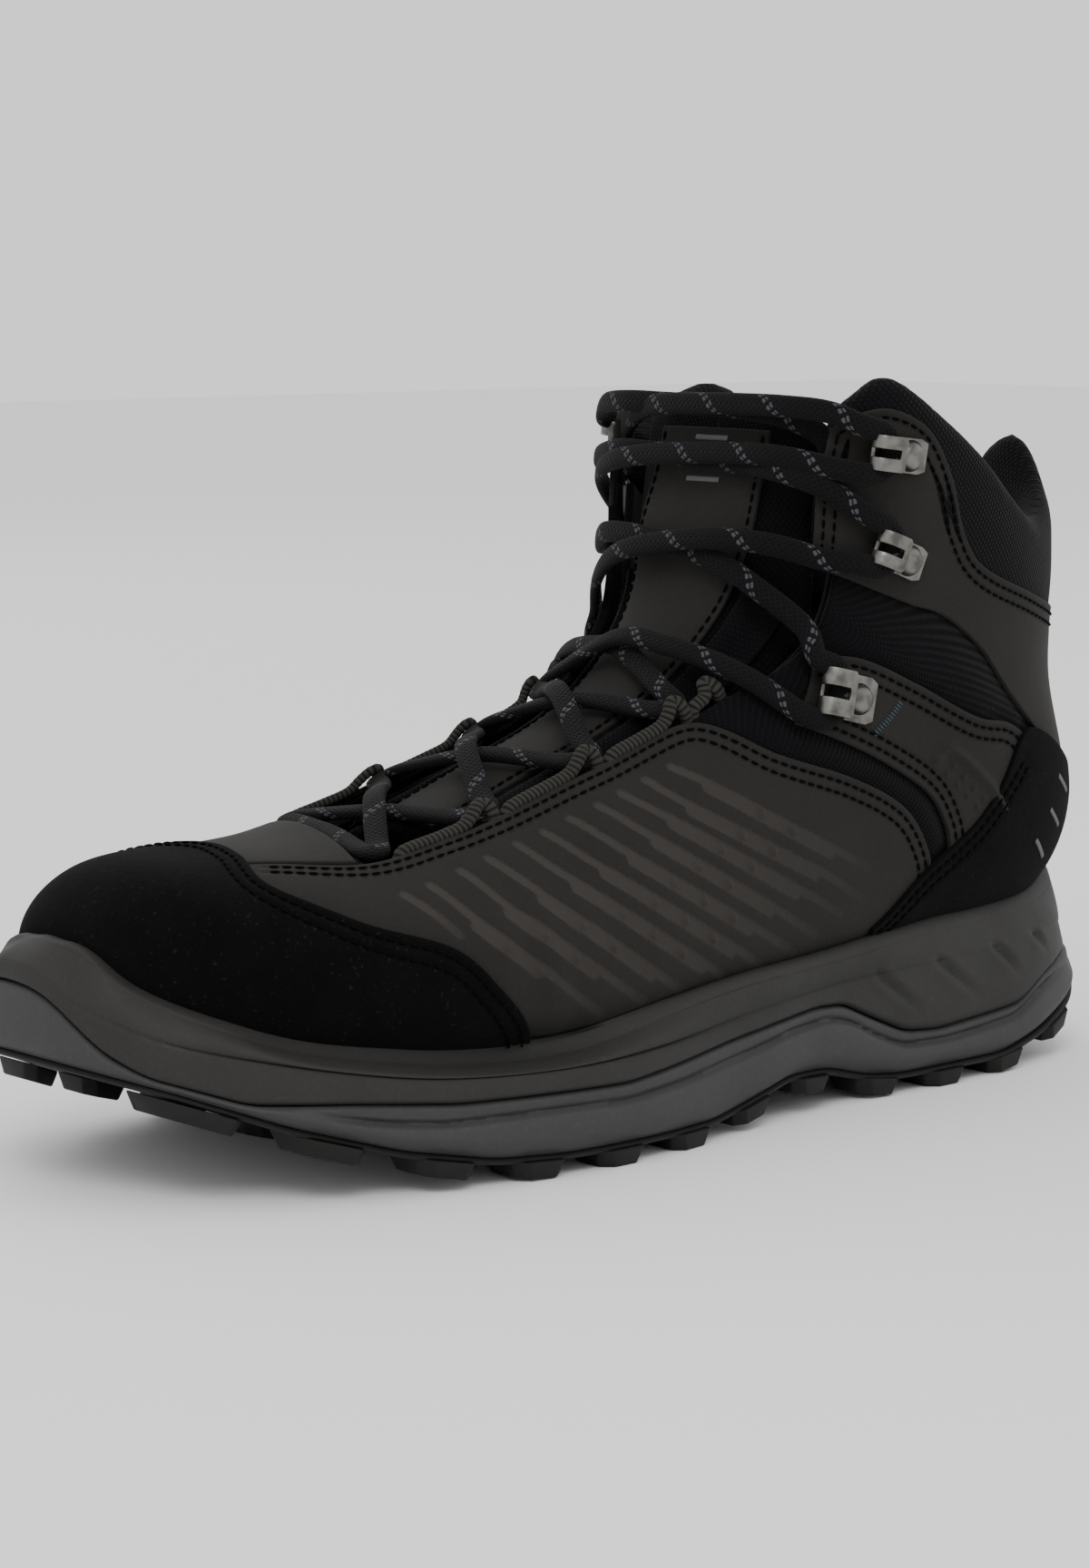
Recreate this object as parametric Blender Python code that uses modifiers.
"""A left mid-cut hiking boot, EU size 42 to 43, as the separate pieces it is made of.

Frame: metres, +Z up, the heel towards +X, the toe towards -X, the outer (lateral) side towards -Y.
The ground is Z = 0, and the origin is on the ground at the middle of the sole's length and width.

Every piece of the upper is laid on the last, the foot-shaped form a boot is built round.  A place on
the last is a station, counted from the toe tip (0) over the instep to the collar (13), and a girth
share, from the ridge of the instep (0) down the side to the sole line (1); the lateral side is
negative.  A height is measured outwards from the outer face of the nubuck.
"""
import bpy
import bmesh
import numpy as np
from math import radians, pi, cos, sin
from mathutils import Vector, Matrix

MM = 0.001

# Driving dimensions (metres)
SOLE_LENGTH = 0.305          # toe bumper to heel
SOLE_WIDTH = 0.112           # across the ball of the foot
COLLAR_HEIGHT = 0.1675       # ground to the top of the collar's ears

NUBUCK = 0.0014              # main upper leather
SUEDE = 0.0012               # toe cap and heel counter
MESH = 0.0012                # textile under the leather
LINING = 0.0012              # inner bootie
BOARD = 0.0012               # Strobel board that closes the bottom of the upper
SHANK = 0.0010               # stiffening plate under the arch
FOOTBED = 0.0045             # removable insole
COLLAR_PAD = 0.0080          # padded collar
TONGUE_PAD = 0.0050          # padded tongue
FACING = 0.0010              # leather strip on the tongue
GUSSET = 0.0008              # folded fabric beside the tongue
TAB = 0.0012                 # webbing strip on the heel seam

LAYER_GAP = 0.0010           # between two layers of the upper
SEAM_GAP = 0.0004            # between a piece and what it rests on
BOOTIE_GAP = 0.0014          # textile to lining, lining to footbed
CUP_GAP = 0.0012             # upper to the midsole's cup
TONGUE_CLEARANCE = 0.0017    # lining to tongue pad

LACE_DIAMETER = 0.0032
LACE_GAP = 0.0005            # lace to what it passes over
LOOP_CORD = 0.0028           # ribbed webbing loops
AGLET_DIAMETER = 0.0036
AGLET_LENGTH = 0.018

HOOK_METAL = 0.0009
HOOK_WIDTH = 0.0080
LOCK_WIDTH = 0.0110          # the lowest hook on each side is a wider lace lock
RIVET_HEAD = 0.0070
RIVET_SHANK = 0.0026
RIVET_CLEARANCE = 0.0004

LUG_HEIGHT = 0.0035
LUG_LENGTH = 0.0145
LUG_DEPTH = 0.0150
OUTSOLE_SHEET = 0.0016
OUTSOLE_INSET = 0.0012       # the rubber sheet stands inside the midsole's edge
SOLE_JOINT = 0.0003          # between outsole, frame and midsole
WALL_LIP = 0.0028            # thickness of the midsole's cup at its top edge

TONGUE_HINGE_STATION = 4.95
FOOTBED_TOE_STATION = 0.45

# Heights of the layers' outer faces over the nubuck's outer face
MESH_OUTER = -(NUBUCK + LAYER_GAP)
LINING_OUTER = MESH_OUTER - MESH - BOOTIE_GAP
LINING_INNER = LINING_OUTER - LINING
FOOTBED_OUTER = LINING_INNER - BOOTIE_GAP
TONGUE_OUTER = LINING_INNER - TONGUE_CLEARANCE
FACING_OUTER = TONGUE_OUTER + LAYER_GAP + FACING
GUSSET_OUTER = TONGUE_OUTER + LAYER_GAP + GUSSET
SUEDE_OUTER = LAYER_GAP + SUEDE
CAVITY = SUEDE_OUTER + CUP_GAP

# The last, drawn at its model size: for each station the ridge point (x from the toe, z), the sole
# point (x, z), the half widths (lateral, medial), the middle's shift to the medial side, the height
# share of the widest place, and how square the section is above and below it.
MODEL_LENGTH, MODEL_WIDTH, MODEL_HEIGHT, ANKLE = 305.0, 112.0, 167.5, 90.0
LAST = [
    (13.0, 48.0, 13.0, 44.0, 4, 4, 9, .50, 2.0, 2.0),
    (16.0, 59.0, 18.0, 37.0, 20, 19, 8, .45, 2.2, 2.4),
    (27.0, 67.0, 30.0, 31.0, 34, 31, 5, .38, 2.3, 2.8),
    (47.0, 69.0, 50.0, 27.0, 43, 41, 3, .35, 2.3, 2.9),
    (71.0, 71.5, 77.0, 24.5, 49, 47, 1, .32, 2.2, 3.2),
    (96.0, 78.5, 108.0, 23.5, 51, 47, 0, .30, 2.1, 3.3),
    (122.0, 88.5, 146.0, 24.5, 49, 42, 0, .31, 2.1, 3.2),
    (146.0, 98.0, 188.0, 26.5, 46, 40, 0, .36, 2.2, 3.0),
    (162.0, 108.5, 235.0, 30.0, 43, 40, 0, .44, 2.4, 2.7),
    (172.5, 121.0, 279.0, 36.0, 42, 40, 0, .52, 2.7, 2.5),
    (178.0, 134.0, 299.0, 56.0, 43, 42, 0, .58, 3.1, 2.2),
    (183.0, 146.5, 291.0, 90.0, 44, 43, 0, .60, 3.4, 2.2),
    (186.5, 159.0, 292.0, 122.0, 46, 45, 0, .60, 3.4, 2.2),
    (188.5, 171.0, 295.0, 154.0, 47, 46, 0, .58, 3.3, 2.2),
]
STATION_STEPS, GIRTH_STEPS = 16, 64
BEND_WEIGHT = 0.03   # how much closer the facets stand where the last turns

# The sole's outline from the toe tip round the lateral side, the heel and the medial side: x from
# the toe, y, then the midsole's shoulder (its z and how far it leans in), and the place on the last
# (station, girth) that the top edge of the midsole's cup reaches.
SOLE_OUTLINE = [
    (0, 11, 45, 0.5, .42, .05), (3, -8, 41, 0, .50, -.25), (14, -27, 34, 0, 1.05, -.52),
    (36, -43, 29, 0, 2.3, -.60), (66, -53, 24, 0, 3.7, -.62), (98, -57.4, 22.5, 0, 4.75, -.635),
    (128, -56.5, 23.5, 0, 5.6, -.63), (160, -50, 26, 0, 6.45, -.645), (195, -43, 28, 0, 7.3, -.695),
    (228, -42, 29, 1, 8.1, -.755), (262, -39, 30, 2.5, 8.8, -.82), (288, -30, 30, 4, 9.3, -.89),
    (303, -14, 30, 5, 9.6, -.95), (306, 2, 30, 5.5, 9.68, -1.0), (302, 17, 30, 5, 9.6, -1.05),
    (288, 31, 30, 4, 9.3, -1.11), (262, 40, 30, 2.5, 8.8, -1.18), (228, 41, 29, 1, 8.1, -1.245),
    (195, 39, 28, 0, 7.3, -1.305), (160, 41, 26, 0, 6.45, -1.355), (126, 49, 23.5, 0, 5.6, -1.37),
    (94, 56.8, 22.5, 0, 4.75, -1.365), (62, 56.4, 24, 0, 3.6, -1.38), (34, 49, 29, 0, 2.2, -1.40),
    (13, 36, 34, 0, 1.0, -1.47), (2.5, 24, 41, 0, .52, -1.72),
]
OUTLINE_STEPS = 2
# Lines along the sole, as (x from the toe, z): the tread's underside, and the parting line between
# the grey frame and the midsole.
TREAD_LINE = [(0, 25), (16, 19.5), (36, 12), (60, 5), (82, 1), (100, 0), (148, 0), (162, 2.2),
              (178, 5.2), (192, 4.6), (206, 1), (216, 0), (254, 0), (270, 3), (288, 8), (305, 15)]
PARTING_LINE = [(0, 49), (3, 43), (6, 34), (12, 28), (29, 22), (50, 21), (73, 19), (118, 18.2),
                (153, 22), (187, 24.6), (197, 24), (206, 20), (218, 15), (230, 14), (262, 16),
                (274, 21), (288, 24.5), (305, 26)]
EDGE_LUGS = [22, 46, 71, 94, 117, 140, 163, 186, 210, 233, 256, 280]
MIDDLE_LUGS = [35, 59, 83, 106, 129, 221, 245, 267]


# ---------------------------------------------------------------- the last

def smooth_rows(rows, place):
    """Catmull-Rom through the rows at places counted in rows."""
    rows = np.asarray(rows, float)
    last = len(rows) - 1
    place = np.clip(np.asarray(place, float), 0, last)
    i = np.minimum(place.astype(int), last - 1)
    f = (place - i)[..., None]
    before = rows[np.maximum(i - 1, 0)]
    before = np.where((i == 0)[..., None], 2 * rows[i] - rows[i + 1], before)
    after = rows[np.minimum(i + 2, last)]
    after = np.where((i == last - 1)[..., None], 2 * rows[i + 1] - rows[i], after)
    a, b = rows[i], rows[i + 1]
    return 0.5 * (2 * a + (b - before) * f + (2 * before - 5 * a + 4 * b - after) * f * f
                  + (3 * a - before - 3 * b + after) * f ** 3)


def graded(x, y, z):
    """Model-size millimetres to this boot's metres, with x from the middle of the sole."""
    leg = (COLLAR_HEIGHT / MM - ANKLE) / (MODEL_HEIGHT - ANKLE)
    z = np.where(z > ANKLE, ANKLE + (z - ANKLE) * leg, z)
    return np.stack([(x / MODEL_LENGTH - 0.5) * SOLE_LENGTH, y / MODEL_WIDTH * SOLE_WIDTH, z * MM], -1)


def half_section(station, side, steps=360):
    """One side of a section, ridge to sole line, at equal steps along its own length."""
    ridge_x, ridge_z, sole_x, sole_z, lateral, medial, middle, widest, above, below = smooth_rows(
        LAST, np.array([station]))[0]
    angle = np.linspace(0, pi, steps)
    power = np.where(angle < pi / 2, above, below)
    rise = np.sign(np.cos(angle)) * np.abs(np.cos(angle)) ** (2 / power)
    out = np.abs(np.sin(angle)) ** (2 / power)
    up = np.where(rise > 0, widest + (1 - widest) * rise, widest + widest * rise)
    width = medial if side > 0 else lateral
    path = graded(sole_x + (ridge_x - sole_x) * up, middle + side * width * out,
                  sole_z + (ridge_z - sole_z) * up)
    run = np.r_[0, np.cumsum(np.linalg.norm(np.diff(path, axis=0), axis=1))]
    share = np.linspace(0, run[-1], GIRTH_STEPS + 1)
    return np.stack([np.interp(share, run, path[:, k]) for k in range(3)], -1)


def build_last():
    """The last as a table of points and outward normals."""
    count = (len(LAST) - 1) * STATION_STEPS + 1
    points = np.array([np.concatenate([half_section(i / STATION_STEPS, -1)[::-1],
                                       half_section(i / STATION_STEPS, 1)[1:]]) for i in range(count)])
    along = np.gradient(points, axis=0)
    around = np.roll(points[:, :-1], -1, axis=1) - np.roll(points[:, :-1], 1, axis=1)
    around = np.concatenate([around, around[:, :1]], axis=1)
    normals = np.cross(around, along)
    outward = np.sign(np.sum(normals * (points - points.mean(axis=1, keepdims=True)), axis=-1))
    normals *= np.sign(outward.sum())
    return points, normals / np.linalg.norm(normals, axis=-1, keepdims=True)


LAST_POINTS, LAST_NORMALS = build_last()


def look_up(table, station, girth):
    station = np.clip(np.asarray(station, float) * STATION_STEPS, 0, len(table) - 1.001)
    girth = (np.asarray(girth, float) + 1) % 2 * GIRTH_STEPS
    i, j = station.astype(int), np.minimum(girth.astype(int), 2 * GIRTH_STEPS - 1)
    f, g = (station - i)[..., None], (girth - j)[..., None]
    return ((table[i, j] * (1 - f) + table[i + 1, j] * f) * (1 - g)
            + (table[i, j + 1] * (1 - f) + table[i + 1, j + 1] * f) * g)


def normal_at(station, girth):
    normal = look_up(LAST_NORMALS, station, girth)
    return normal / np.linalg.norm(normal, axis=-1, keepdims=True)


def on_last(station, girth, height=0.0):
    """The point at a station and girth share, at a height over the nubuck's outer face."""
    return look_up(LAST_POINTS, station, girth) + normal_at(station, girth) * np.asarray(height)[..., None]


# ---------------------------------------------------------------- scene helpers

def clear_scene():
    for item in list(bpy.data.objects):
        bpy.data.objects.remove(item, do_unlink=True)
    for name in ("hiking_boot", "cutters"):
        group = bpy.data.collections.new(name)
        bpy.context.scene.collection.children.link(group)
    return bpy.data.collections["hiking_boot"], bpy.data.collections["cutters"]


PARTS, CUTTERS = clear_scene()

FINISHES = {  # colour (sRGB hex), roughness, metallic
    "nubuck": (0x32312F, .85, 0), "suede": (0x0E0E0E, .95, 0), "mesh": (0x0C0C0E, .9, 0),
    "lining": (0x1B1B1D, .9, 0), "board": (0xB9B4A6, .9, 0), "shank": (0x8D8F92, .4, 1),
    "footbed": (0x26282B, .85, 0), "midsole": (0x2B2A29, .6, 0), "frame": (0x454545, .55, 0),
    "rubber": (0x161514, .7, 0), "webbing": (0x35362F, .85, 0), "lace": (0x2A2A2D, .8, 0),
    "metal": (0x9A9894, .35, 1), "tip": (0x1A1A1C, .4, 0), "stiffener": (0x6E6A62, .8, 0),
}


def finish(item, look):
    """Give an object a material of its own."""
    code, roughness, metallic = FINISHES[look]
    material = bpy.data.materials.new(item.name + "_" + look)
    material.use_nodes = True
    shader = material.node_tree.nodes["Principled BSDF"]
    channels = [((code >> shift & 255) / 255) ** 2.2 for shift in (16, 8, 0)]
    shader.inputs["Base Color"].default_value = (*channels, 1)
    shader.inputs["Roughness"].default_value = roughness
    shader.inputs["Metallic"].default_value = metallic
    item.data.materials.clear()
    item.data.materials.append(material)
    return item


def add_object(name, data, look=None):
    item = bpy.data.objects.new(name, data)
    if look is None:
        CUTTERS.objects.link(item)
        item.hide_render = True
        item.display_type = "WIRE"
        return item
    PARTS.objects.link(item)
    return finish(item, look)


def loft(name, grid, close_across=False):
    """A quad surface through a grid of points, facing the way its rows and columns turn."""
    rows, columns = grid.shape[:2]
    form = bmesh.new()
    verts = [[form.verts.new(point) for point in row] for row in grid]
    spans = columns if close_across else columns - 1
    for i in range(rows - 1):
        for j in range(spans):
            k = (j + 1) % columns
            form.faces.new((verts[i][j], verts[i][k], verts[i + 1][k], verts[i + 1][j]))
    if close_across:
        form.faces.new(verts[0][::-1])
        form.faces.new(verts[-1])
        bmesh.ops.recalc_face_normals(form, faces=form.faces)
    mesh = bpy.data.meshes.new(name)
    form.to_mesh(mesh)
    form.free()
    mesh.shade_smooth()
    mesh.set_sharp_from_angle(angle=radians(40))
    return mesh


def cut(item, cutter, operation="DIFFERENCE"):
    boolean = item.modifiers.new(operation.lower() + "_" + cutter.name, "BOOLEAN")
    boolean.operation = operation
    boolean.object = cutter
    boolean.solver = "EXACT"


def baked(item):
    """The object's evaluated mesh, as plain mesh data."""
    bpy.context.view_layer.update()
    graph = bpy.context.evaluated_depsgraph_get()
    return bpy.data.meshes.new_from_object(item.evaluated_get(graph))


def even_steps(places, lines, count):
    """Places along a set of lines on the last, closer together where the surface turns."""
    effort = np.zeros(len(places) - 1)
    for line in lines:
        run = np.linalg.norm(np.diff(on_last(line[:, 0], line[:, 1]), axis=0), axis=1)
        bend = np.linalg.norm(np.diff(normal_at(line[:, 0], line[:, 1]), axis=0), axis=1)
        effort = np.maximum(effort, run + BEND_WEIGHT * bend)
    effort = np.r_[0, np.cumsum(effort)]
    return np.interp(np.linspace(0, effort[-1], count + 1), effort, places)


def panel(name, low, high, along, across, outer, thickness, look):
    """A piece of sheet on the last: the strip between two lines of (station, girth) points whose
    points pair up one to one, from its outer height down by its thickness."""
    dense = np.linspace(0, len(low) - 1, 24 * (len(low) - 1) + 1)
    first, second = smooth_rows(low, dense), smooth_rows(high, dense)
    place = even_steps(dense, [first, (first + second) / 2, second], along)
    first, second = smooth_rows(low, place), smooth_rows(high, place)
    ribs = np.linspace(0, 1, 61)
    spans = [first[k] * (1 - ribs[:, None]) + second[k] * ribs[:, None]
             for k in (along // 5, along // 2, along * 4 // 5)]
    share = even_steps(ribs, spans, across)[None, :, None]
    places = first[:, None] * (1 - share) + second[:, None] * share
    grid = on_last(places[..., 0], places[..., 1], outer)
    middle = (along // 2, across // 2)
    facing = np.cross(grid[middle[0] + 1, middle[1]] - grid[middle], grid[middle[0], middle[1] + 1]
                      - grid[middle])
    if np.dot(facing, normal_at(*places[middle])) > 0:
        grid = grid[:, ::-1]
    item = add_object(name, loft(name, grid), look)
    shell = item.modifiers.new("thickness", "SOLIDIFY")
    shell.thickness = thickness
    shell.offset = -1
    return item


def on_side(points, side):
    """Lines are written for a positive girth: side -1 turns them to the lateral side."""
    return [(station, side * girth) for station, girth in points]


def both_sides(points):
    """A line from the lateral side round the sole line (girth 1) or heel to the medial side."""
    return points + [(station, 2 - girth) for station, girth in points[-2::-1]]


SIDES = (("lateral", -1), ("medial", 1))

# ---------------------------------------------------------------- upper: leather, textile, lining

# The quarter's top edge, from under the toe cap back to the heel counter
QUARTER_TOP = [(2.45, .10), (3.15, .155), (3.9, .215), (4.6, .217), (5.3, .217), (6.2, .217),
               (7.3, .225), (7.75, .34), (8.2, .44), (8.42, .53), (8.35, .62), (8.22, .675)]
QUARTER_LOW = [(2.45, .74), (3.1, .74), (3.7, .74), (4.3, .74), (4.9, .74), (5.5, .745),
               (6.2, .75), (6.7, .76), (7.1, .77), (7.5, .78), (7.8, .79), (7.98, .80)]
STRAP_LOW = [(8.15, .318), (8.33, .365), (8.55, .44), (8.7, .53), (8.62, .60), (8.47, .655)]
STRAP_TOP = [(8.95, .262), (9.3, .32), (9.52, .412), (9.72, .53), (9.95, .60), (9.98, .665)]
CUFF_LOW = [(9.95, .213), (10.05, .25), (10.17, .31), (10.32, .38), (10.48, .45), (10.45, .53),
            (10.25, .60), (10.13, .70), (10.07, .82), (10.07, .92), (10.07, .99)]
CUFF_TOP = [(12.2, .234), (12.6, .275), (12.78, .335), (12.68, .39), (12.05, .442), (11.45, .475),
            (11.28, .54), (11.38, .68), (11.5, .82), (11.5, .92), (11.5, .99)]
THROAT_EDGE, SHAFT_EDGE = .217, .262


def build_leather():
    for word, side in SIDES:
        panel("quarter_" + word, on_side(QUARTER_LOW, side), on_side(QUARTER_TOP, side), 20, 7,
              0.0, NUBUCK, "nubuck")
        panel("ankle_strap_" + word, on_side(STRAP_LOW, side), on_side(STRAP_TOP, side), 8, 3,
              0.0, NUBUCK, "nubuck")
        panel("cuff_" + word, on_side(CUFF_LOW, side), on_side(CUFF_TOP, side), 20, 4,
              0.0, NUBUCK, "nubuck")
    panel("vamp", [(2.45, -.088), (2.45, 0), (2.45, .088)],
          [(3.9, -.205), (4.15, 0), (4.35, .205)], 8, 6, 0.0, NUBUCK, "nubuck")
    panel("toe_puff", [(.15, -.74), (.15, -.4), (.15, 0), (.15, .4), (.15, .74)],
          [(2.35, -.74), (2.35, -.4), (2.35, 0), (2.35, .4), (2.35, .74)], 16, 4, 0.0, NUBUCK, "stiffener")
    edge = [(4.9, .735), (4.65, .60), (4.42, .52), (4.1, .44), (3.4, .372), (2.9, .26), (3.05, .12)]
    rear = on_side(edge, -1) + [(3.15, 0)] + on_side(edge[::-1], 1)
    panel("toe_cap", [(.15, girth) for _, girth in rear], rear, 22, 6, SUEDE_OUTER, SUEDE, "suede")
    panel("heel_stiffener",
          both_sides([(8.1, .80), (8.5, .82), (8.95, .86), (9.2, .93), (9.25, 1.0)]),
          both_sides([(8.5, .69), (9.0, .695), (9.6, .70), (9.93, .82), (9.93, 1.0)]),
          16, 3, 0.0, NUBUCK, "stiffener")
    panel("heel_counter",
          both_sides([(7.35, .80), (7.9, .80), (8.5, .82), (8.95, .86), (9.2, .93), (9.25, 1.0)]),
          both_sides([(7.6, .70), (8.3, .645), (9.2, .622), (10.05, .64), (10.25, .80), (10.25, 1.0)]),
          22, 4, SUEDE_OUTER, SUEDE, "suede")
    panel("heel_tab", [(10.4, .972), (10.7, .972), (11.0, .972)],
          [(10.4, 1.028), (10.7, 1.028), (11.0, 1.028)], 4, 4, TAB + SEAM_GAP, TAB, "webbing")


def build_inner_layers():
    seam = .988
    feather = [(.15, .74), (1, .74), (2, .74), (3, .74), (3.6, .74), (3.9, .74), (4.2, .74),
               (4.7, .74), (5.5, .745), (6.3, .75), (7.1, .77), (7.8, .79), (8.4, .82), (8.9, .86),
               (9.2, .93), (9.5, seam), (10.0, seam), (10.5, seam), (11.0, seam)]
    bottom = [(station, max(girth, seam)) for station, girth in feather]
    edge = [(5.5, THROAT_EDGE), (6.3, THROAT_EDGE), (7.1, THROAT_EDGE), (7.8, .225), (8.3, .24),
            (8.8, .255), (9.2, SHAFT_EDGE), (9.55, SHAFT_EDGE), (10.0, SHAFT_EDGE),
            (10.5, SHAFT_EDGE), (11.0, SHAFT_EDGE)]
    ridge = [(.15, .012), (1, .012), (2, .012), (3, .012)]
    throat = {"lateral": [(4.02, .012), (3.95, .11), (3.88, THROAT_EDGE), (4.6, THROAT_EDGE)],
              "medial": [(4.03, .012), (4.14, .11), (4.27, THROAT_EDGE), (4.8, THROAT_EDGE)]}
    for word, side in SIDES:
        high = on_side(ridge + throat[word] + edge, side)
        panel("mesh_" + word, on_side(feather, side), high, 24, 7, MESH_OUTER, MESH, "mesh")
        panel("lining_" + word, on_side(bottom, side), high, 23, 8, LINING_OUTER, LINING, "lining")
    panel("strobel_board", [(.45, .77), (2, .76), (4, .76), (6, .77), (8, .815), (9.0, .90)],
          [(.45, 1.23), (2, 1.24), (4, 1.24), (6, 1.23), (8, 1.185), (9.0, 1.10)],
          14, 6, MESH_OUTER, BOARD, "board")
    panel("shank", [(5.2, .93), (6.2, .94), (7.2, .945), (8.1, .94)],
          [(5.2, 1.07), (6.2, 1.06), (7.2, 1.055), (8.1, 1.06)], 8, 2, -LAYER_GAP / 3, SHANK, "shank")
    # the collar stands up beside the tongue and at the heel, and dips between them
    medial = [(11.95, .262), (12.6, .34), (12.93, .43), (12.8, .52), (12.35, .62), (12.15, .72),
              (12.5, .85), (12.8, .94), (12.85, 1.0)]
    lateral = [(12.4, .268), (12.95, .32), (12.68, .43), (12.4, .53), (12.15, .62), (12.12, .72),
               (12.5, .85), (12.8, .94), (12.85, 1.0)]
    top = medial + [(station, 2 - girth) for station, girth in lateral[-2::-1]]
    panel("collar_pad", [(11.14, girth) for _, girth in top], top, 36, 3,
          MESH_OUTER, COLLAR_PAD, "mesh")


# ---------------------------------------------------------------- tongue and footbed

def pivot(name, point):
    """An empty on a joint's axis."""
    empty = bpy.data.objects.new(name, None)
    empty.location = point
    PARTS.objects.link(empty)
    return empty


def carried(item, empty):
    item.parent = empty
    item.matrix_parent_inverse = Matrix.Translation(-empty.location)
    return item


def build_tongue():
    start = TONGUE_HINGE_STATION
    hinge = pivot("tongue_hinge", on_last(start, 0, TONGUE_OUTER - TONGUE_PAD / 2))
    edge = [(start, .20), (6, .25), (7.5, .26), (9.2, .255), (10.4, .225), (11.6, .222), (12.6, .21),
            (12.95, .17)]
    pieces = [panel("tongue_pad", on_side(edge, -1), on_side(edge, 1), 18, 6, TONGUE_OUTER,
                    TONGUE_PAD, "mesh")]
    strip = [(start + .06, .10), (6.5, .105), (8.5, .11), (10.2, .115), (11.9, .115)]
    pieces.append(panel("tongue_facing", on_side(strip, -1), on_side(strip, 1), 14, 3,
                        FACING_OUTER, FACING, "nubuck"))
    for word, side in SIDES:
        inner = [(start + .06, .118), (6.5, .123), (8.0, .127), (9.4, .13)]
        outer = [(start + .06, .185), (6.5, .203), (8.0, .205), (9.4, .205)]
        pieces.append(panel("gusset_" + word, on_side(inner, side), on_side(outer, side), 9, 1,
                            GUSSET_OUTER, GUSSET, "mesh"))
    for piece in pieces:
        carried(piece, hinge)


def build_footbed():
    toe = on_last(FOOTBED_TOE_STATION, 1.0, FOOTBED_OUTER - FOOTBED / 2)
    hinge = pivot("footbed_hinge", toe)
    low = [(FOOTBED_TOE_STATION, .80), (1.2, .75), (3, .74), (5, .74), (7, .76), (8.3, .80),
           (9.0, .87), (9.17, .93)]
    high = [(station, 2 - girth) for station, girth in low]
    carried(panel("footbed", low, high, 15, 7, FOOTBED_OUTER, FOOTBED, "footbed"), hinge)


# ---------------------------------------------------------------- sole

def line_height(line, x):
    """The height of a line along the sole at x from the toe, in model millimetres."""
    xs, zs = np.array(line, float).T
    return np.interp(x, xs, zs)


def slab(name, lower, upper, half_width=0.12):
    """A cutter between two heights that change only along the sole."""
    xs = np.unique(np.r_[-30, [p[0] for p in TREAD_LINE], [p[0] for p in PARTING_LINE],
                         np.linspace(10, 300, 30), 335].astype(float))
    sections = []
    for x in xs:
        place = (x / MODEL_LENGTH - 0.5) * SOLE_LENGTH
        sections.append([(place, -half_width, lower(x)), (place, half_width, lower(x)),
                         (place, half_width, upper(x)), (place, -half_width, upper(x))])
    return add_object(name, loft(name, np.array(sections), close_across=True))


def tread(x):
    return line_height(TREAD_LINE, x) * MM


def parting(x):
    return line_height(PARTING_LINE, x) * MM


def sole_rings():
    """The sole's outer form as rings round its outline, from below the tread up into the cup."""
    rows = np.array(SOLE_OUTLINE, float)
    rows = np.vstack([rows, rows[:1] + [0, 0, 0, 0, 0, -2]])
    count = len(SOLE_OUTLINE) * OUTLINE_STEPS
    place = np.arange(count) / OUTLINE_STEPS
    padded = np.vstack([rows[-2] + [0, 0, 0, 0, 0, 2], rows, rows[1] + [0, 0, 0, 0, 0, -2]])
    ring = smooth_rows(padded, place + 1)
    edge = graded(ring[:, 0], ring[:, 1], np.zeros(count))
    ahead, behind = np.roll(edge, -1, axis=0), np.roll(edge, 1, axis=0)
    inward = np.cross(ahead - behind, (0, 0, 1))
    inward /= np.linalg.norm(inward, axis=1, keepdims=True)
    inward *= np.sign(np.sum(inward * (edge.mean(axis=0) - edge)))
    return ring, edge, inward


def raised(points, heights):
    return points + np.stack([np.zeros(len(points))] * 2 + [heights], -1)


def build_sole():
    ring, edge, inward = sole_rings()
    x = ring[:, 0]
    foot = tread(x) + LUG_HEIGHT + OUTSOLE_SHEET + SOLE_JOINT
    part = parting(x)
    shoulder = np.maximum(ring[:, 2] * MM, part + 0.002)
    lean = ring[:, 3:4] * MM
    lip = on_last(ring[:, 4], ring[:, 5], CAVITY + WALL_LIP)
    inside = on_last(ring[:, 4], ring[:, 5], -0.004)
    rings = np.array([
        raised(edge + inward * 0.004, np.full(len(x), -0.02)),
        raised(edge + inward * 0.0022, foot),
        raised(edge + inward * lean * 0.3, (foot + part) / 2),
        raised(edge + inward * lean * 0.7, part),
        raised(edge + inward * lean, shoulder),
        lip, inside])
    form = loft("sole_form", rings, close_across=True)

    outsole_ring = edge + inward * OUTSOLE_INSET
    prism = np.array([raised(outsole_ring, np.full(len(x), -0.02)),
                      raised(outsole_ring, np.full(len(x), 0.06))])
    outsole = add_object("outsole", loft("outsole", prism, close_across=True), "rubber")
    cut(outsole, slab("outsole_slab", lambda x: tread(x) + LUG_HEIGHT,
                      lambda x: tread(x) + LUG_HEIGHT + OUTSOLE_SHEET), "INTERSECT")
    cut(outsole, build_lugs(outsole_ring), "UNION")

    frame = add_object("midsole_frame", form.copy(), "frame")
    cut(frame, slab("frame_slab", lambda x: tread(x) + LUG_HEIGHT + OUTSOLE_SHEET + SOLE_JOINT,
                    lambda x: parting(x) - SOLE_JOINT / 2), "INTERSECT")
    midsole = add_object("midsole", form, "midsole")
    cut(midsole, slab("midsole_slab", lambda x: parting(x) + SOLE_JOINT / 2,
                      lambda x: 0.2), "INTERSECT")
    cut(midsole, last_cavity())
    cut(frame, bpy.data.objects["last_cavity"])


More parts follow.
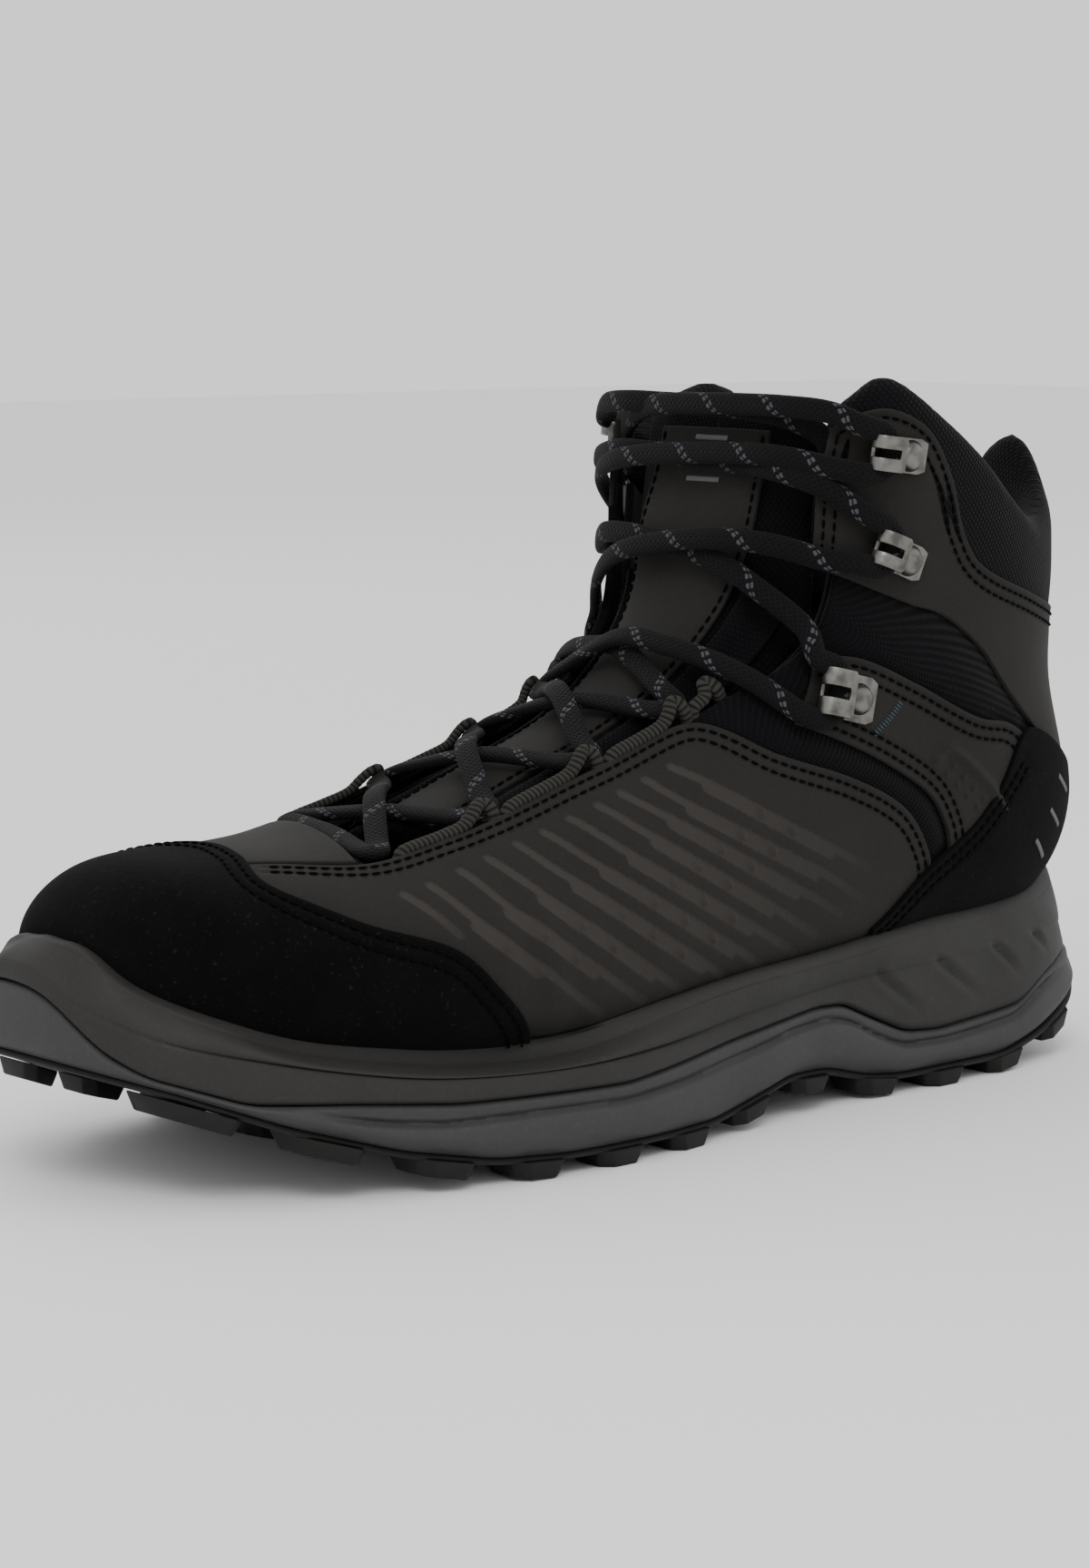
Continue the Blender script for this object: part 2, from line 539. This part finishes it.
def last_cavity():
    """The room that the upper takes in the midsole's cup."""
    stations = np.r_[0, .2, .5, np.linspace(1, 10.5, 24), 11.5, 13]
    girths = np.linspace(-1, 1, 37)[:-1]
    side_height, under_height = CAVITY, SOLE_JOINT
    station, girth = np.meshgrid(stations, girths, indexing="ij")
    blend = np.clip((np.abs(girth) - .80) / .10, 0, 1) * np.clip((8.6 - station) / .8, 0, 1)
    grid = on_last(station, girth, side_height + (under_height - side_height) * blend)
    return add_object("last_cavity", loft("last_cavity", grid, close_across=True))


def build_lugs(outline):
    """Chunky tread blocks along both edges and down the middle, as one cutter to be joined."""
    lateral_edge = outline[outline[:, 1] < 0]
    medial_edge = outline[outline[:, 1] > 0]
    lateral_edge = lateral_edge[np.argsort(lateral_edge[:, 0])]
    medial_edge = medial_edge[np.argsort(medial_edge[:, 0])]
    form = bmesh.new()

    def side_y(edge, place):
        return np.interp(place, edge[:, 0], edge[:, 1])

    def block(x, inner, outer):
        """One block whose underside and sides follow the tread line and the sole's edge."""
        made = bmesh.ops.create_cube(form, size=1.0)["verts"]
        half = LUG_LENGTH / 2
        for vert in made:
            place = (x / MODEL_LENGTH - 0.5) * SOLE_LENGTH + (half if vert.co.x > 0 else -half)
            if vert.co.z < 0:
                place += 0.0010 * (-1 if vert.co.x > 0 else 1)
            at = (place / SOLE_LENGTH + 0.5) * MODEL_LENGTH
            near, far = inner(place), outer(place)
            taper = 0.0008 if vert.co.z < 0 else 0
            across = near + taper if vert.co.y < 0 else far - taper
            lift = 0 if vert.co.z < 0 else LUG_HEIGHT + OUTSOLE_SHEET / 2
            vert.co = (place, across, tread(at) + lift)

    rim = 0.0007
    for x in EDGE_LUGS:
        block(x, lambda place: side_y(lateral_edge, place) + rim,
              lambda place: side_y(lateral_edge, place) + rim + LUG_DEPTH)
        block(x, lambda place: side_y(medial_edge, place) - rim - LUG_DEPTH,
              lambda place: side_y(medial_edge, place) - rim)
    for x in MIDDLE_LUGS:
        block(x, lambda place: -LUG_DEPTH * 0.5, lambda place: LUG_DEPTH * 0.5)
    mesh = bpy.data.meshes.new("lugs")
    bmesh.ops.recalc_face_normals(form, faces=form.faces)
    form.to_mesh(mesh)
    form.free()
    return add_object("lugs", mesh)


# ---------------------------------------------------------------- hooks, rivets, loops

# Rivet place and the place its hook points at, for a positive girth
HOOK_PLACES = {"low": ((8.85, .345), (8.52, .28)), "middle": ((10.78, .37), (10.66, .288)),
               "top": ((12.02, .352), (11.86, .275))}
HOOK_ROOM = LACE_DIAMETER + 2 * SEAM_GAP      # inside height of the hook
PLATE_BACK = 0.0048                           # plate behind the rivet
BEND_X = 0.0092                               # centre of the hook's bend from the rivet
LACE_X = BEND_X - 0.0014                      # where the lace lies in the hook


def hook_frame(where, side):
    """The matrix of a hook: X towards the throat, Z out of the leather, origin at the rivet."""
    (station, girth), aim = HOOK_PLACES[where]
    origin = Vector(on_last(station, side * girth, SEAM_GAP))
    up = Vector(normal_at(station, side * girth))
    ahead = Vector(on_last(aim[0], side * aim[1])) - origin
    ahead = (ahead - up * ahead.dot(up)).normalized()
    across = up.cross(ahead)
    return Matrix((ahead, across, up)).transposed().to_4x4(), origin


def placed(item, where, side):
    turn, origin = hook_frame(where, side)
    item.matrix_world = Matrix.Translation(origin) @ turn
    return item


def hook_mesh(width):
    """A bent strip: a plate with a rivet hole, folded back over the lace, the fold slotted."""
    inner = HOOK_ROOM / 2
    outer = inner + HOOK_METAL
    middle_z = HOOK_METAL + inner
    bend = [radians(a) for a in (-90, -60, -30, 0, 30, 60, 90)]
    outline = [(-PLATE_BACK, 0), (BEND_X - 0.0015, 0)]
    outline += [(BEND_X + outer * cos(a), middle_z + outer * sin(a)) for a in bend]
    fold_end = RIVET_HEAD / 2 + 0.0007
    outline += [(fold_end, middle_z + outer), (fold_end, middle_z + inner)]
    outline += [(BEND_X + inner * cos(a), middle_z + inner * sin(a)) for a in bend[::-1]]
    outline += [(-PLATE_BACK, HOOK_METAL)]
    form = bmesh.new()
    face = form.faces.new([form.verts.new((x, -width / 2, z)) for x, z in outline])
    made = bmesh.ops.extrude_face_region(form, geom=[face])["geom"]
    bmesh.ops.translate(form, vec=(0, width, 0), verts=[v for v in made if isinstance(v, bmesh.types.BMVert)])
    bmesh.ops.recalc_face_normals(form, faces=form.faces)
    mesh = bpy.data.meshes.new("hook_strip")
    form.to_mesh(mesh)
    form.free()
    strip = add_object("hook_strip", mesh)
    hole = add_object("rivet_hole", cylinder_mesh(RIVET_SHANK / 2 + RIVET_CLEARANCE, -0.001,
                                                  HOOK_METAL + 0.001, 12))
    form = bmesh.new()
    bmesh.ops.create_cube(form, size=1.0)
    slot = bpy.data.meshes.new("fold_slot")
    form.to_mesh(slot)
    form.free()
    slot_end = fold_end + 0.0022
    reach = BEND_X + inner * 0.9 - slot_end
    slot.transform(Matrix.Translation((slot_end + reach / 2, 0, middle_z + outer))
                   @ Matrix.Diagonal((reach, width * 0.36, HOOK_METAL * 3.2, 1)))
    slot = add_object("fold_slot", slot)
    cut(strip, hole)
    cut(strip, slot)
    mesh = baked(strip)
    for item in (strip, hole, slot):
        bpy.data.objects.remove(item)
    return mesh


def cylinder_mesh(radius, low, high, sides):
    form = bmesh.new()
    bmesh.ops.create_cone(form, cap_ends=True, segments=sides, radius1=radius, radius2=radius,
                          depth=high - low)
    bmesh.ops.translate(form, vec=(0, 0, (high + low) / 2), verts=form.verts)
    mesh = bpy.data.meshes.new("cylinder")
    form.to_mesh(mesh)
    form.free()
    return mesh


def rivet_mesh():
    """A domed head on a shank, turned about Z, with the plate's underside at Z = 0."""
    head, shank = RIVET_HEAD / 2, RIVET_SHANK / 2
    seat = HOOK_METAL + SEAM_GAP
    profile = [(0, seat + .0019), (head * .45, seat + .0017), (head * .8, seat + .0011),
               (head, seat + .0004), (head, seat), (shank, seat), (shank, -(SEAM_GAP + NUBUCK)),
               (0, -(SEAM_GAP + NUBUCK))]
    form = bmesh.new()
    verts = [form.verts.new((x, 0, z)) for x, z in profile]
    for a, b in zip(verts, verts[1:]):
        form.edges.new((a, b))
    mesh = bpy.data.meshes.new("rivet_profile")
    form.to_mesh(mesh)
    form.free()
    item = add_object("rivet_profile", mesh)
    screw = item.modifiers.new("turn", "SCREW")
    screw.steps = screw.render_steps = 10
    screw.use_merge_vertices = True
    screw.merge_threshold = 0.00001
    mesh = baked(item)
    bpy.data.objects.remove(item)
    return mesh


def build_hooks():
    hook, lock, rivet = hook_mesh(HOOK_WIDTH), hook_mesh(LOCK_WIDTH), rivet_mesh()
    drill = cylinder_mesh(RIVET_SHANK / 2 + RIVET_CLEARANCE, -0.006, 0.004, 10)
    for word, side in SIDES:
        for where, shape in (("low", lock), ("middle", hook), ("top", hook)):
            name = "lace_lock_" if where == "low" else "lace_hook_" + where + "_"
            placed(add_object(name + word, shape.copy(), "metal"), where, side)
            placed(add_object("rivet_" + where + "_" + word, rivet.copy(), "metal"), where, side)
            drill_bit = placed(add_object("drill_" + where + "_" + word, drill), where, side)
            leather = "ankle_strap_" if where == "low" else "cuff_"
            cut(bpy.data.objects[leather + word], drill_bit)


def spread(points, most_turn, most_run):
    """Thin a dense path to the points its bends need."""
    kept, turned, run = [points[0]], 0.0, 0.0
    for before, here, after in zip(points, points[1:], points[2:]):
        step, further = here - before, after - here
        run += np.linalg.norm(step)
        cosine = np.dot(step, further) / (np.linalg.norm(step) * np.linalg.norm(further) + 1e-12)
        turned += np.arccos(np.clip(cosine, -1, 1))
        if turned > most_turn or run > most_run:
            kept.append(here)
            turned, run = 0.0, 0.0
    if np.linalg.norm(kept[-1] - points[-1]) < most_run * 0.25:
        kept.pop()
    return kept + [points[-1]]


def cord(name, points, diameter, look, most_turn=44, most_run=0.018):
    """A round cord through its points."""
    dense = smooth_rows(points, np.linspace(0, len(points) - 1, (len(points) - 1) * 12 + 1))
    path = spread(list(dense), radians(most_turn), most_run)
    curve = bpy.data.curves.new(name, "CURVE")
    curve.dimensions = "3D"
    spline = curve.splines.new("POLY")
    spline.points.add(len(path) - 1)
    for place, point in zip(spline.points, path):
        place.co = (*point, 1)
    curve.bevel_depth = diameter / 2
    curve.bevel_resolution = 2
    curve.use_fill_caps = True
    return add_object(name, curve, look)


# Where each ribbed loop starts and ends along the throat, for the lateral side; the medial side is
# shifted back a little at the toe end, because the throat is askew.
LOOPS = [(4.42, 5.18), (5.5, 6.26), (6.58, 7.32), (7.58, 7.80)]
MEDIAL_SHIFT = [.30, .24, .11, .05]
LOOP_SPAN = .70              # stations that a loop's full rise takes; a shorter loop rises sooner


def build_loops():
    resting = SEAM_GAP + LOOP_CORD / 2
    over_lace = EDGE_HEIGHT + LACE_DIAMETER / 2 + LACE_GAP + LOOP_CORD / 2
    for word, side in SIDES:
        for number, ((start, end), shift) in enumerate(zip(LOOPS, MEDIAL_SHIFT), 1):
            bridge = over_lace if number < len(LOOPS) else resting * 1.1
            offset = shift if side > 0 else 0
            ease = min(1, (end - start) / LOOP_SPAN)
            rise = [(start, .236, resting), (start + .14 * ease, .222, resting * 1.15),
                    ((start + end) / 2, .205, resting * 1.1), (end - .2 * ease, .192, bridge * .9),
                    (end - .07 * ease, .182, bridge), (end + .03, .190, bridge * 1.05),
                    (end + .07, .214, bridge), (end + .05, .236, resting * 1.1)]
            points = [on_last(station + offset, side * girth, height) for station, girth, height in rise]
            cord(f"lace_loop_{number}_{word}", points, LOOP_CORD, "webbing")


# ---------------------------------------------------------------- lace

RADIUS = LACE_DIAMETER / 2
UNDER = FACING_OUTER + LACE_GAP + RADIUS + 0.0003     # lace on the tongue
OVER = UNDER + LACE_DIAMETER + LACE_GAP + 0.0003      # lace over another run of it
EDGE_HEIGHT = -0.0006                                 # lace turning round a loop, in the throat
ON_LEATHER = SEAM_GAP + RADIUS + 0.0008               # lace over the eyestay
TUCKED = -(NUBUCK + LACE_GAP) - RADIUS                # lace end behind the cuff


def in_hook(where, side, rising):
    """The lace through one hook, as world points, going up the boot or down it."""
    turn, origin = hook_frame(where, side)
    half = (LOCK_WIDTH if where == "low" else HOOK_WIDTH) / 2
    seat = HOOK_METAL + SEAM_GAP + RADIUS
    run = [(BEND_X + .0060, -half - .0030, seat - .0006), (BEND_X + .0012, -half - .0024, seat),
           (LACE_X - .0004, -half - .0002, seat), (LACE_X - .0014, 0, seat),
           (LACE_X - .0004, half + .0002, seat), (BEND_X + .0012, half + .0024, seat),
           (BEND_X + .0060, half + .0030, seat - .0006)]
    if (side < 0) != rising:
        run = run[::-1]
    return [np.array(origin + turn @ Vector(point)) for point in run]


def places(side, rows):
    return [on_last(station, side * girth, height) for station, girth, height in rows]


def turn_at_loop(side, station):
    """A tight turn round the end of a ribbed loop, from the lower run to the upper one."""
    return places(side, [(station - .10, .150, UNDER * .75), (station - .04, .183, EDGE_HEIGHT),
                         (station + .05, .194, EDGE_HEIGHT), (station + .14, .184, EDGE_HEIGHT),
                         (station + .19, .150, UNDER * .4)])


HOOK_STATIONS = {"low": 8.60, "middle": 10.68, "top": 11.90}
HOOK_REACH = .42             # stations from the hook's middle to the lace beside it


def over_edge(side, where, middle, level, leaving):
    """The lace between a hook and the ridge, bending over the square front of the shaft."""
    station = HOOK_STATIONS[where] + (HOOK_REACH if leaving else -HOOK_REACH)
    rows = [(station + (middle - station) * share, girth, height)
            for share, girth, height in ((.18, .232, ON_LEATHER), (.42, .165, ON_LEATHER * .3 + level * .3),
                                         (.70, .09, level * .85))]
    return places(side, rows if leaving else rows[::-1])


def lace_half(side, turns):
    """One half of the lace, from the bottom bar up its zigzag.  Each turn is its kind and place, and
    the station and level at which the run that leads to it crosses the ridge."""
    points = []
    here, last_hook = side, None
    for kind, where, station, level in turns:
        if last_hook:
            points += over_edge(here, last_hook, station, level, True)
        here = -here
        points.append(on_last(station, 0, level))
        if kind == "loop":
            points += turn_at_loop(here, where)
        else:
            points += over_edge(here, where, station, level, False)
            points += in_hook(where, here, True)
            last_hook = where
    return points, here


LATERAL_TURNS = [5.17, 6.25, 7.31]
MEDIAL_TURNS = [LATERAL_TURNS[i] + MEDIAL_SHIFT[i] for i in range(3)]
FIRST_LATERAL, FIRST_MEDIAL = 4.13, 4.50


def tucked_end(side, level):
    """From the top hook over the tongue to a lace end behind the other side's cuff."""
    points = over_edge(side, "top", 12.24, level, True)
    return points + [on_last(12.24, 0, level)] + places(-side, [
        (12.2, .10, level * .5 + UNDER * .4), (12.1, .17, UNDER * 1.05), (11.9, .225, TUCKED),
        (11.6, .240, TUCKED), (11.3, .241, TUCKED), (11.1, .241, TUCKED)])


def build_lace():
    first, ended = lace_half(-1, [
        ("loop", MEDIAL_TURNS[0], 4.83, OVER), ("loop", LATERAL_TURNS[1], 5.93, UNDER),
        ("loop", MEDIAL_TURNS[2], 6.95, OVER), ("hook", "low", 8.02, OVER),
        ("hook", "middle", 9.72, UNDER), ("hook", "top", 11.32, OVER)])
    first += tucked_end(ended, OVER)
    first_end = -ended
    second, ended = lace_half(1, [
        ("loop", LATERAL_TURNS[0], 4.86, UNDER), ("loop", MEDIAL_TURNS[1], 5.83, OVER),
        ("loop", LATERAL_TURNS[2], 7.02, UNDER), ("hook", "low", 8.00, UNDER),
        ("hook", "middle", 9.70, OVER), ("hook", "top", 11.30, UNDER)])
    second += tucked_end(ended, UNDER)
    second_end = -ended
    bar = [on_last(FIRST_LATERAL + .16, -.150, UNDER * .5), on_last(FIRST_LATERAL + .08, -.182, EDGE_HEIGHT),
           on_last(FIRST_LATERAL, -.186, EDGE_HEIGHT), on_last(FIRST_LATERAL - .03, -.160, EDGE_HEIGHT * 2),
           on_last(4.32, 0, UNDER + .0004), on_last(FIRST_MEDIAL - .03, .160, EDGE_HEIGHT * 2),
           on_last(FIRST_MEDIAL, .186, EDGE_HEIGHT), on_last(FIRST_MEDIAL + .08, .182, EDGE_HEIGHT),
           on_last(FIRST_MEDIAL + .16, .150, UNDER * .5)]
    cord("lace", first[::-1] + bar + second, LACE_DIAMETER, "lace")
    for word, end in (("first", first_end), ("second", second_end)):
        start = Vector(on_last(11.1, end * .241, TUCKED))
        stop = Vector(on_last(10.6, end * .241, TUCKED - 0.0002))
        run = (stop - start).normalized()
        tip = add_object("aglet_" + word, cylinder_mesh(AGLET_DIAMETER / 2, 0, AGLET_LENGTH, 10), "tip")
        tip.location = start + run * SEAM_GAP
        tip.rotation_euler = run.to_track_quat("Z", "Y").to_euler()


def main():
    build_leather()
    build_inner_layers()
    build_tongue()
    build_footbed()
    build_sole()
    build_hooks()
    build_loops()
    build_lace()


main()
